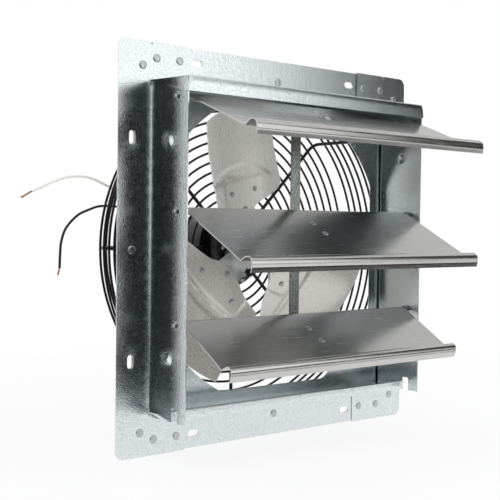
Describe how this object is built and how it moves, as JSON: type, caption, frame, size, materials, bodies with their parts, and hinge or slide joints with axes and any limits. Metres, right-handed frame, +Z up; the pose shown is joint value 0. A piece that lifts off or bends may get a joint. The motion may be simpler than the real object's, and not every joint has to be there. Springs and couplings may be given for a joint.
{
  "type": "shutter exhaust fan",
  "caption": "Wall exhaust fan: square flanged sheet-metal box with linked hinged shutters in front, a bladed fan on a black motor behind, and a round wire guard.",
  "frame": {"origin": "centre of the flange's front face, on the fan's axis", "axes": "+Z up, +Y along the fan's axis from the shutters to the motor, so air leaves towards -Y; +X to the right seen from the shutters"},
  "size_m": [0.4419, 0.3091, 0.408],
  "materials": {
    "galvanised": "spangled zinc coating, satin",
    "bright_zinc": "bright zinc plate",
    "aluminium": "rolled, satin",
    "blade_aluminium": "rolled, soft sheen",
    "black_gloss": "gloss black coating",
    "black_enamel": "gloss black enamel",
    "steel": "ground steel",
    "core_steel": "dull stacked laminations",
    "winding_copper": "varnished copper",
    "bare_copper": "bare stranded copper",
    "black_rubber": "matt",
    "white_plastic": "satin",
    "black_plastic": "satin"
  },
  "bodies": {
    "frame": {"left_side_piece": "galvanised", "right_side_piece": "galvanised", "top_piece": "galvanised", "bottom_piece": "galvanised", "orifice_panel": "galvanised", "top_left_bushing": "bright_zinc", "top_right_bushing": "bright_zinc", "middle_left_bushing": "bright_zinc", "middle_right_bushing": "bright_zinc", "bottom_left_bushing": "bright_zinc", "bottom_right_bushing": "bright_zinc", "wire_guard": "black_gloss", "guard_clip_right": "bright_zinc", "guard_clip_top": "bright_zinc", "guard_clip_left": "bright_zinc", "guard_clip_bottom": "bright_zinc", "motor_mount_plate": "black_gloss", "motor_mount_screw_1": "bright_zinc", "motor_mount_screw_2": "bright_zinc", "motor_mount_screw_3": "bright_zinc", "motor_mount_screw_4": "bright_zinc", "motor_shell": "black_enamel", "motor_front_bell": "black_enamel", "motor_rear_bell": "black_enamel", "front_bearing": "steel", "rear_bearing": "steel", "stator_core": "core_steel", "stator_windings": "winding_copper", "motor_through_bolt_1": "steel", "motor_through_bolt_2": "steel", "motor_through_bolt_3": "steel", "motor_through_bolt_4": "steel", "lead_grommet": "black_rubber", "white_lead": "white_plastic", "white_lead_tip": "bare_copper", "black_lead": "black_plastic", "black_lead_tip": "bare_copper"},
    "fan_rotor": {"fan_spider": "galvanised", "blade_1": "blade_aluminium", "blade_2": "blade_aluminium", "blade_3": "blade_aluminium", "hub_set_screw": "steel", "motor_shaft": "steel", "rotor_core": "core_steel"},
    "top_shutter_body": {"top_shutter": "aluminium", "top_shutter_rod": "bright_zinc", "top_link_bracket": "bright_zinc"},
    "middle_shutter_body": {"middle_shutter": "aluminium", "middle_shutter_rod": "bright_zinc", "middle_link_bracket": "bright_zinc"},
    "bottom_shutter_body": {"bottom_shutter": "aluminium", "bottom_shutter_rod": "bright_zinc", "bottom_link_bracket": "bright_zinc"},
    "tie_bar_body": {"tie_bar": "galvanised", "tie_bar_pin_top": "bright_zinc", "tie_bar_pin_middle": "bright_zinc", "tie_bar_pin_bottom": "bright_zinc"}
  },
  "joints": [
    {"name": "fan_spin", "type": "hinge", "parent": "frame", "child": "fan_rotor", "pos_m": [0, 0, 0], "axis": [0, 1, 0], "continuous": true},
    {"name": "top_shutter_swing", "type": "hinge", "parent": "frame", "child": "top_shutter_body", "pos_m": [0, -0.043, 0.147], "axis": [1, 0, 0], "range_deg": [-14, 58]},
    {"name": "middle_shutter_swing", "type": "hinge", "parent": "frame", "child": "middle_shutter_body", "pos_m": [0, -0.043, 0.038], "axis": [1, 0, 0], "range_deg": [-14, 58]},
    {"name": "bottom_shutter_swing", "type": "hinge", "parent": "frame", "child": "bottom_shutter_body", "pos_m": [0, -0.043, -0.071], "axis": [1, 0, 0], "range_deg": [-14, 58]},
    {"name": "tie_bar_pivot", "type": "hinge", "parent": "top_shutter_body", "child": "tie_bar_body", "pos_m": [0, -0.03, 0.138], "axis": [1, 0, 0], "range_deg": [-58, 14]}
  ],
  "couplings": [
    {"joint": "middle_shutter_swing", "follows": "top_shutter_swing", "ratio": 1},
    {"joint": "bottom_shutter_swing", "follows": "top_shutter_swing", "ratio": 1},
    {"joint": "tie_bar_pivot", "follows": "top_shutter_swing", "ratio": -1}
  ]
}
